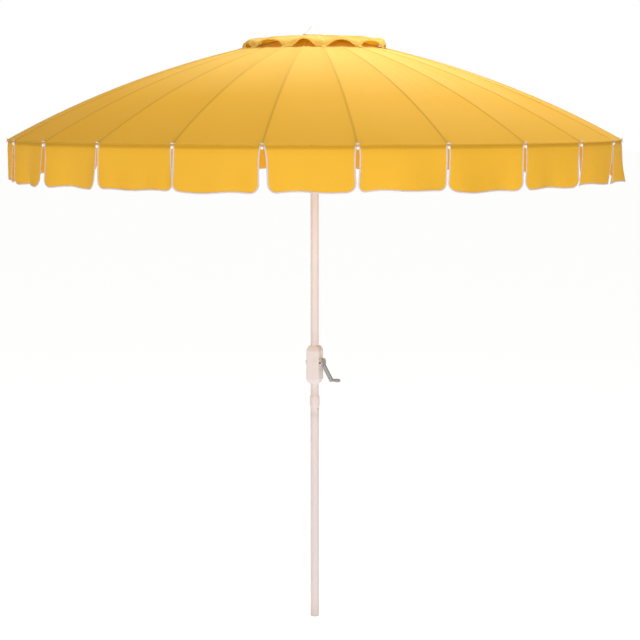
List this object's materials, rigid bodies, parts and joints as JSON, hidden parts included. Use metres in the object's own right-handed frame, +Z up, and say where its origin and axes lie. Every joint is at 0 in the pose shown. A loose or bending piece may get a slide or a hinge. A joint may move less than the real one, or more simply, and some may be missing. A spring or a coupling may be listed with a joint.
{
  "type": "beach umbrella",
  "caption": "Large round crank-lift umbrella with a yellow panelled canopy, hanging flaps edged in white piping, a vented top, a low finial and a white two-section pole",
  "frame": {"origin": "Centre of the pole's foot, on the pole's axis, at the level that the foot rests on", "axes": "+Z runs up the pole, -Y is the front, towards which one canopy panel faces squarely, and +X is the side that the crank handle is on"},
  "size_m": [2.7312, 2.7312, 2.7262],
  "materials": {
    "canopy_cloth": "woven polyester, plain weave, slightly translucent",
    "white_steel": "warm white powder coat",
    "white_moulding": "satin moulded plastic",
    "finial_plastic": "smooth moulded plastic",
    "bright_steel": "zinc-plated steel",
    "button_steel": "dull pressed steel",
    "grey_grip": "moulded grey grip",
    "rib_metal": "white-coated aluminium channel and bar"
  },
  "bodies": {
    "frame": {"lower_pole": "white_steel", "upper_pole": "white_steel", "crank_housing": "white_moulding", "crown_hub": "white_moulding", "canopy": "canopy_cloth", "vent_cap": "canopy_cloth", "finial": "finial_plastic"},
    "snap_button": {"snap_button": "button_steel"},
    "crank": {"crank_spool": "bright_steel", "crank_arm": "bright_steel"},
    "crank_knob": {"crank_knob": "grey_grip"},
    "runner": {"runner_hub": "white_moulding"},
    "rib_01": {"rib_01": "rib_metal"},
    "strut_01": {"strut_01": "rib_metal"},
    "rib_02": {"rib_02": "rib_metal"},
    "strut_02": {"strut_02": "rib_metal"},
    "rib_03": {"rib_03": "rib_metal"},
    "strut_03": {"strut_03": "rib_metal"},
    "rib_04": {"rib_04": "rib_metal"},
    "strut_04": {"strut_04": "rib_metal"},
    "rib_05": {"rib_05": "rib_metal"},
    "strut_05": {"strut_05": "rib_metal"},
    "rib_06": {"rib_06": "rib_metal"},
    "strut_06": {"strut_06": "rib_metal"},
    "rib_07": {"rib_07": "rib_metal"},
    "strut_07": {"strut_07": "rib_metal"},
    "rib_08": {"rib_08": "rib_metal"},
    "strut_08": {"strut_08": "rib_metal"},
    "rib_09": {"rib_09": "rib_metal"},
    "strut_09": {"strut_09": "rib_metal"},
    "rib_10": {"rib_10": "rib_metal"},
    "strut_10": {"strut_10": "rib_metal"},
    "rib_11": {"rib_11": "rib_metal"},
    "strut_11": {"strut_11": "rib_metal"},
    "rib_12": {"rib_12": "rib_metal"},
    "strut_12": {"strut_12": "rib_metal"},
    "rib_13": {"rib_13": "rib_metal"},
    "strut_13": {"strut_13": "rib_metal"},
    "rib_14": {"rib_14": "rib_metal"},
    "strut_14": {"strut_14": "rib_metal"},
    "rib_15": {"rib_15": "rib_metal"},
    "strut_15": {"strut_15": "rib_metal"},
    "rib_16": {"rib_16": "rib_metal"},
    "strut_16": {"strut_16": "rib_metal"},
    "rib_17": {"rib_17": "rib_metal"},
    "strut_17": {"strut_17": "rib_metal"},
    "rib_18": {"rib_18": "rib_metal"},
    "strut_18": {"strut_18": "rib_metal"},
    "rib_19": {"rib_19": "rib_metal"},
    "strut_19": {"strut_19": "rib_metal"},
    "rib_20": {"rib_20": "rib_metal"},
    "strut_20": {"strut_20": "rib_metal"},
    "rib_21": {"rib_21": "rib_metal"},
    "strut_21": {"strut_21": "rib_metal"},
    "rib_22": {"rib_22": "rib_metal"},
    "strut_22": {"strut_22": "rib_metal"},
    "rib_23": {"rib_23": "rib_metal"},
    "strut_23": {"strut_23": "rib_metal"},
    "rib_24": {"rib_24": "rib_metal"},
    "strut_24": {"strut_24": "rib_metal"}
  },
  "joints": [
    {"name": "rib_fold_01", "type": "hinge", "parent": "frame", "child": "rib_01", "pos_m": [0.00587, -0.04462, 2.67183], "axis": [0.9914, 0.1305, 0], "range_deg": [0, 60], "deforming": ["canopy", "vent_cap"]},
    {"name": "strut_fold_01", "type": "hinge", "parent": "rib_01", "child": "strut_01", "pos_m": [0.08404, -0.63837, 2.51137], "axis": [-0.9914, -0.1305, 0], "range_deg": [0, 120]},
    {"name": "rib_fold_02", "type": "hinge", "parent": "frame", "child": "rib_02", "pos_m": [0.01722, -0.04157, 2.67183], "axis": [0.9239, 0.3827, 0], "range_deg": [0, 60]},
    {"name": "strut_fold_02", "type": "hinge", "parent": "rib_02", "child": "strut_02", "pos_m": [0.2464, -0.59486, 2.51137], "axis": [-0.9239, -0.3827, 0], "range_deg": [0, 120]},
    {"name": "rib_fold_03", "type": "hinge", "parent": "frame", "child": "rib_03", "pos_m": [0.02739, -0.0357, 2.67183], "axis": [0.7934, 0.6088, 0], "range_deg": [0, 60]},
    {"name": "strut_fold_03", "type": "hinge", "parent": "rib_03", "child": "strut_03", "pos_m": [0.39197, -0.51082, 2.51137], "axis": [-0.7934, -0.6088, 0], "range_deg": [0, 120]},
    {"name": "rib_fold_04", "type": "hinge", "parent": "frame", "child": "rib_04", "pos_m": [0.0357, -0.02739, 2.67183], "axis": [0.6088, 0.7934, 0], "range_deg": [0, 60]},
    {"name": "strut_fold_04", "type": "hinge", "parent": "rib_04", "child": "strut_04", "pos_m": [0.51082, -0.39197, 2.51137], "axis": [-0.6088, -0.7934, 0], "range_deg": [0, 120]},
    {"name": "rib_fold_05", "type": "hinge", "parent": "frame", "child": "rib_05", "pos_m": [0.04157, -0.01722, 2.67183], "axis": [0.3827, 0.9239, 0], "range_deg": [0, 60]},
    {"name": "strut_fold_05", "type": "hinge", "parent": "rib_05", "child": "strut_05", "pos_m": [0.59486, -0.2464, 2.51137], "axis": [-0.3827, -0.9239, 0], "range_deg": [0, 120]},
    {"name": "rib_fold_06", "type": "hinge", "parent": "frame", "child": "rib_06", "pos_m": [0.04462, -0.00587, 2.67183], "axis": [0.1305, 0.9914, 0], "range_deg": [0, 60]},
    {"name": "strut_fold_06", "type": "hinge", "parent": "rib_06", "child": "strut_06", "pos_m": [0.63837, -0.08404, 2.51137], "axis": [-0.1305, -0.9914, 0], "range_deg": [0, 120]},
    {"name": "rib_fold_07", "type": "hinge", "parent": "frame", "child": "rib_07", "pos_m": [0.04462, 0.00587, 2.67183], "axis": [-0.1305, 0.9914, 0], "range_deg": [0, 60]},
    {"name": "strut_fold_07", "type": "hinge", "parent": "rib_07", "child": "strut_07", "pos_m": [0.63837, 0.08404, 2.51137], "axis": [0.1305, -0.9914, 0], "range_deg": [0, 120]},
    {"name": "rib_fold_08", "type": "hinge", "parent": "frame", "child": "rib_08", "pos_m": [0.04157, 0.01722, 2.67183], "axis": [-0.3827, 0.9239, 0], "range_deg": [0, 60]},
    {"name": "strut_fold_08", "type": "hinge", "parent": "rib_08", "child": "strut_08", "pos_m": [0.59486, 0.2464, 2.51137], "axis": [0.3827, -0.9239, 0], "range_deg": [0, 120]},
    {"name": "rib_fold_09", "type": "hinge", "parent": "frame", "child": "rib_09", "pos_m": [0.0357, 0.02739, 2.67183], "axis": [-0.6088, 0.7934, 0], "range_deg": [0, 60]},
    {"name": "strut_fold_09", "type": "hinge", "parent": "rib_09", "child": "strut_09", "pos_m": [0.51082, 0.39197, 2.51137], "axis": [0.6088, -0.7934, 0], "range_deg": [0, 120]},
    {"name": "rib_fold_10", "type": "hinge", "parent": "frame", "child": "rib_10", "pos_m": [0.02739, 0.0357, 2.67183], "axis": [-0.7934, 0.6088, 0], "range_deg": [0, 60]},
    {"name": "strut_fold_10", "type": "hinge", "parent": "rib_10", "child": "strut_10", "pos_m": [0.39197, 0.51082, 2.51137], "axis": [0.7934, -0.6088, 0], "range_deg": [0, 120]},
    {"name": "rib_fold_11", "type": "hinge", "parent": "frame", "child": "rib_11", "pos_m": [0.01722, 0.04157, 2.67183], "axis": [-0.9239, 0.3827, 0], "range_deg": [0, 60]},
    {"name": "strut_fold_11", "type": "hinge", "parent": "rib_11", "child": "strut_11", "pos_m": [0.2464, 0.59486, 2.51137], "axis": [0.9239, -0.3827, 0], "range_deg": [0, 120]},
    {"name": "rib_fold_12", "type": "hinge", "parent": "frame", "child": "rib_12", "pos_m": [0.00587, 0.04462, 2.67183], "axis": [-0.9914, 0.1305, 0], "range_deg": [0, 60]},
    {"name": "strut_fold_12", "type": "hinge", "parent": "rib_12", "child": "strut_12", "pos_m": [0.08404, 0.63837, 2.51137], "axis": [0.9914, -0.1305, 0], "range_deg": [0, 120]},
    {"name": "rib_fold_13", "type": "hinge", "parent": "frame", "child": "rib_13", "pos_m": [-0.00587, 0.04462, 2.67183], "axis": [-0.9914, -0.1305, 0], "range_deg": [0, 60]},
    {"name": "strut_fold_13", "type": "hinge", "parent": "rib_13", "child": "strut_13", "pos_m": [-0.08404, 0.63837, 2.51137], "axis": [0.9914, 0.1305, 0], "range_deg": [0, 120]},
    {"name": "rib_fold_14", "type": "hinge", "parent": "frame", "child": "rib_14", "pos_m": [-0.01722, 0.04157, 2.67183], "axis": [-0.9239, -0.3827, 0], "range_deg": [0, 60]},
    {"name": "strut_fold_14", "type": "hinge", "parent": "rib_14", "child": "strut_14", "pos_m": [-0.2464, 0.59486, 2.51137], "axis": [0.9239, 0.3827, 0], "range_deg": [0, 120]},
    {"name": "rib_fold_15", "type": "hinge", "parent": "frame", "child": "rib_15", "pos_m": [-0.02739, 0.0357, 2.67183], "axis": [-0.7934, -0.6088, 0], "range_deg": [0, 60]},
    {"name": "strut_fold_15", "type": "hinge", "parent": "rib_15", "child": "strut_15", "pos_m": [-0.39197, 0.51082, 2.51137], "axis": [0.7934, 0.6088, 0], "range_deg": [0, 120]},
    {"name": "rib_fold_16", "type": "hinge", "parent": "frame", "child": "rib_16", "pos_m": [-0.0357, 0.02739, 2.67183], "axis": [-0.6088, -0.7934, 0], "range_deg": [0, 60]},
    {"name": "strut_fold_16", "type": "hinge", "parent": "rib_16", "child": "strut_16", "pos_m": [-0.51082, 0.39197, 2.51137], "axis": [0.6088, 0.7934, 0], "range_deg": [0, 120]},
    {"name": "rib_fold_17", "type": "hinge", "parent": "frame", "child": "rib_17", "pos_m": [-0.04157, 0.01722, 2.67183], "axis": [-0.3827, -0.9239, 0], "range_deg": [0, 60]},
    {"name": "strut_fold_17", "type": "hinge", "parent": "rib_17", "child": "strut_17", "pos_m": [-0.59486, 0.2464, 2.51137], "axis": [0.3827, 0.9239, 0], "range_deg": [0, 120]},
    {"name": "rib_fold_18", "type": "hinge", "parent": "frame", "child": "rib_18", "pos_m": [-0.04462, 0.00587, 2.67183], "axis": [-0.1305, -0.9914, 0], "range_deg": [0, 60]},
    {"name": "strut_fold_18", "type": "hinge", "parent": "rib_18", "child": "strut_18", "pos_m": [-0.63837, 0.08404, 2.51137], "axis": [0.1305, 0.9914, 0], "range_deg": [0, 120]},
    {"name": "rib_fold_19", "type": "hinge", "parent": "frame", "child": "rib_19", "pos_m": [-0.04462, -0.00587, 2.67183], "axis": [0.1305, -0.9914, 0], "range_deg": [0, 60]},
    {"name": "strut_fold_19", "type": "hinge", "parent": "rib_19", "child": "strut_19", "pos_m": [-0.63837, -0.08404, 2.51137], "axis": [-0.1305, 0.9914, 0], "range_deg": [0, 120]},
    {"name": "rib_fold_20", "type": "hinge", "parent": "frame", "child": "rib_20", "pos_m": [-0.04157, -0.01722, 2.67183], "axis": [0.3827, -0.9239, 0], "range_deg": [0, 60]},
    {"name": "strut_fold_20", "type": "hinge", "parent": "rib_20", "child": "strut_20", "pos_m": [-0.59486, -0.2464, 2.51137], "axis": [-0.3827, 0.9239, 0], "range_deg": [0, 120]},
    {"name": "rib_fold_21", "type": "hinge", "parent": "frame", "child": "rib_21", "pos_m": [-0.0357, -0.02739, 2.67183], "axis": [0.6088, -0.7934, 0], "range_deg": [0, 60]},
    {"name": "strut_fold_21", "type": "hinge", "parent": "rib_21", "child": "strut_21", "pos_m": [-0.51082, -0.39197, 2.51137], "axis": [-0.6088, 0.7934, 0], "range_deg": [0, 120]},
    {"name": "rib_fold_22", "type": "hinge", "parent": "frame", "child": "rib_22", "pos_m": [-0.02739, -0.0357, 2.67183], "axis": [0.7934, -0.6088, 0], "range_deg": [0, 60]},
    {"name": "strut_fold_22", "type": "hinge", "parent": "rib_22", "child": "strut_22", "pos_m": [-0.39197, -0.51082, 2.51137], "axis": [-0.7934, 0.6088, 0], "range_deg": [0, 120]},
    {"name": "rib_fold_23", "type": "hinge", "parent": "frame", "child": "rib_23", "pos_m": [-0.01722, -0.04157, 2.67183], "axis": [0.9239, -0.3827, 0], "range_deg": [0, 60]},
    {"name": "strut_fold_23", "type": "hinge", "parent": "rib_23", "child": "strut_23", "pos_m": [-0.2464, -0.59486, 2.51137], "axis": [-0.9239, 0.3827, 0], "range_deg": [0, 120]},
    {"name": "rib_fold_24", "type": "hinge", "parent": "frame", "child": "rib_24", "pos_m": [-0.00587, -0.04462, 2.67183], "axis": [0.9914, -0.1305, 0], "range_deg": [0, 60]},
    {"name": "strut_fold_24", "type": "hinge", "parent": "rib_24", "child": "strut_24", "pos_m": [-0.08404, -0.63837, 2.51137], "axis": [-0.9914, 0.1305, 0], "range_deg": [0, 120]},
    {"name": "runner_pivot", "type": "hinge", "parent": "strut_01", "child": "runner", "pos_m": [0.00587, -0.04462, 2.3509], "axis": [0.9914, 0.1305, 0], "range_deg": [0, 60]},
    {"name": "crank_turn", "type": "hinge", "parent": "frame", "child": "crank", "pos_m": [0, 0, 1.2], "axis": [0.9272, -0.3746, 0], "range_deg": [0, 4320]},
    {"name": "knob_spin", "type": "hinge", "parent": "crank", "child": "crank_knob", "pos_m": [0.09828, -0.03971, 1.121], "axis": [0.9272, -0.3746, 0], "continuous": true},
    {"name": "button_press", "type": "slide", "parent": "frame", "child": "snap_button", "axis": [-0.766, 0.6428, 0], "range_m": [0, 0.0034], "stiffness_N_per_m": 900}
  ],
  "couplings": [
    {"joint": "strut_fold_01", "follows": "rib_fold_01", "ratio": 2},
    {"joint": "rib_fold_02", "follows": "rib_fold_01", "ratio": 1},
    {"joint": "strut_fold_02", "follows": "rib_fold_01", "ratio": 2},
    {"joint": "rib_fold_03", "follows": "rib_fold_01", "ratio": 1},
    {"joint": "strut_fold_03", "follows": "rib_fold_01", "ratio": 2},
    {"joint": "rib_fold_04", "follows": "rib_fold_01", "ratio": 1},
    {"joint": "strut_fold_04", "follows": "rib_fold_01", "ratio": 2},
    {"joint": "rib_fold_05", "follows": "rib_fold_01", "ratio": 1},
    {"joint": "strut_fold_05", "follows": "rib_fold_01", "ratio": 2},
    {"joint": "rib_fold_06", "follows": "rib_fold_01", "ratio": 1},
    {"joint": "strut_fold_06", "follows": "rib_fold_01", "ratio": 2},
    {"joint": "rib_fold_07", "follows": "rib_fold_01", "ratio": 1},
    {"joint": "strut_fold_07", "follows": "rib_fold_01", "ratio": 2},
    {"joint": "rib_fold_08", "follows": "rib_fold_01", "ratio": 1},
    {"joint": "strut_fold_08", "follows": "rib_fold_01", "ratio": 2},
    {"joint": "rib_fold_09", "follows": "rib_fold_01", "ratio": 1},
    {"joint": "strut_fold_09", "follows": "rib_fold_01", "ratio": 2},
    {"joint": "rib_fold_10", "follows": "rib_fold_01", "ratio": 1},
    {"joint": "strut_fold_10", "follows": "rib_fold_01", "ratio": 2},
    {"joint": "rib_fold_11", "follows": "rib_fold_01", "ratio": 1},
    {"joint": "strut_fold_11", "follows": "rib_fold_01", "ratio": 2},
    {"joint": "rib_fold_12", "follows": "rib_fold_01", "ratio": 1},
    {"joint": "strut_fold_12", "follows": "rib_fold_01", "ratio": 2},
    {"joint": "rib_fold_13", "follows": "rib_fold_01", "ratio": 1},
    {"joint": "strut_fold_13", "follows": "rib_fold_01", "ratio": 2},
    {"joint": "rib_fold_14", "follows": "rib_fold_01", "ratio": 1},
    {"joint": "strut_fold_14", "follows": "rib_fold_01", "ratio": 2},
    {"joint": "rib_fold_15", "follows": "rib_fold_01", "ratio": 1},
    {"joint": "strut_fold_15", "follows": "rib_fold_01", "ratio": 2},
    {"joint": "rib_fold_16", "follows": "rib_fold_01", "ratio": 1},
    {"joint": "strut_fold_16", "follows": "rib_fold_01", "ratio": 2},
    {"joint": "rib_fold_17", "follows": "rib_fold_01", "ratio": 1},
    {"joint": "strut_fold_17", "follows": "rib_fold_01", "ratio": 2},
    {"joint": "rib_fold_18", "follows": "rib_fold_01", "ratio": 1},
    {"joint": "strut_fold_18", "follows": "rib_fold_01", "ratio": 2},
    {"joint": "rib_fold_19", "follows": "rib_fold_01", "ratio": 1},
    {"joint": "strut_fold_19", "follows": "rib_fold_01", "ratio": 2},
    {"joint": "rib_fold_20", "follows": "rib_fold_01", "ratio": 1},
    {"joint": "strut_fold_20", "follows": "rib_fold_01", "ratio": 2},
    {"joint": "rib_fold_21", "follows": "rib_fold_01", "ratio": 1},
    {"joint": "strut_fold_21", "follows": "rib_fold_01", "ratio": 2},
    {"joint": "rib_fold_22", "follows": "rib_fold_01", "ratio": 1},
    {"joint": "strut_fold_22", "follows": "rib_fold_01", "ratio": 2},
    {"joint": "rib_fold_23", "follows": "rib_fold_01", "ratio": 1},
    {"joint": "strut_fold_23", "follows": "rib_fold_01", "ratio": 2},
    {"joint": "rib_fold_24", "follows": "rib_fold_01", "ratio": 1},
    {"joint": "strut_fold_24", "follows": "rib_fold_01", "ratio": 2},
    {"joint": "runner_pivot", "follows": "rib_fold_01", "ratio": 1},
    {"joint": "crank_turn", "follows": "rib_fold_01", "ratio": 72}
  ]
}
